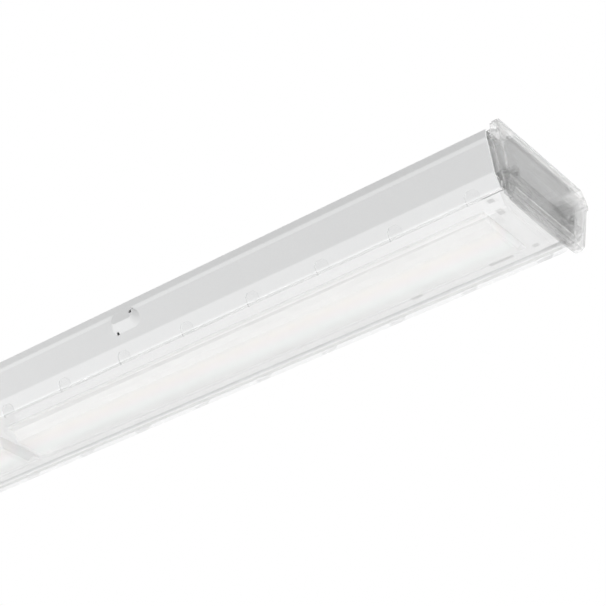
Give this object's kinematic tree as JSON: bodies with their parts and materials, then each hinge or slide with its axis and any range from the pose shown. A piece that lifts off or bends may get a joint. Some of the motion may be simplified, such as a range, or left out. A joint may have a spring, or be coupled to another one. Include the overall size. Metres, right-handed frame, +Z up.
{
  "type": "led linear light",
  "caption": "Long ceiling light: folded white steel trunking with lensed LED modules behind a clear clip-on cover and clear end caps.",
  "frame": {"origin": "middle of the crown, the flat top face of the trunking that goes against the ceiling", "axes": "+X along the light towards the end seen in the picture, +Y across it, +Z up, away from the light's clear cover"},
  "size_m": [1.2332, 0.07, 0.0362],
  "materials": {
    "white_steel": "smooth white powder coat",
    "white_steel_inner": "white powder coat, reflector white",
    "clear_cover": "clear moulded plastic, glossy",
    "lens_clear": "clear plastic lens, lightly diffusing",
    "clear_cap": "clear moulded plastic, glossy",
    "board_white": "white solder mask",
    "phosphor": "yellow phosphor",
    "white_moulding": "white moulded plastic",
    "grey_moulding": "grey moulded plastic",
    "driver_shell": "plain white coated sheet",
    "zinc_steel": "zinc plated",
    "spring_steel": "bright spring steel",
    "brass": "machined brass",
    "grommet_rubber": "black rubber"
  },
  "bodies": {
    "root": {"trunking_rail": "white_steel", "gear_tray": "white_steel_inner", "clear_cover": "clear_cover", "lens_1": "lens_clear", "lens_2": "lens_clear", "lens_3": "lens_clear", "lens_4": "lens_clear", "end_cap_right": "clear_cap", "end_cap_left": "clear_cap", "led_board_1": "board_white", "led_board_2": "board_white", "led_board_3": "board_white", "led_board_4": "board_white", "led_chips_1": "phosphor", "led_chips_2": "phosphor", "led_chips_3": "phosphor", "led_chips_4": "phosphor", "board_plug_1": "white_moulding", "board_plug_2": "white_moulding", "board_plug_3": "white_moulding", "board_plug_4": "white_moulding", "driver_terminal_in": "grey_moulding", "driver_terminal_out": "grey_moulding", "mains_terminal": "grey_moulding", "driver_case": "driver_shell", "driver_lid": "driver_shell", "driver_nuts": "zinc_steel", "tray_clip_right_far": "spring_steel", "tray_clip_right_near": "spring_steel", "tray_clip_left_far": "spring_steel", "tray_clip_left_near": "spring_steel", "earth_terminal": "brass", "cable_grommet": "grommet_rubber"}
  },
  "joints": []
}
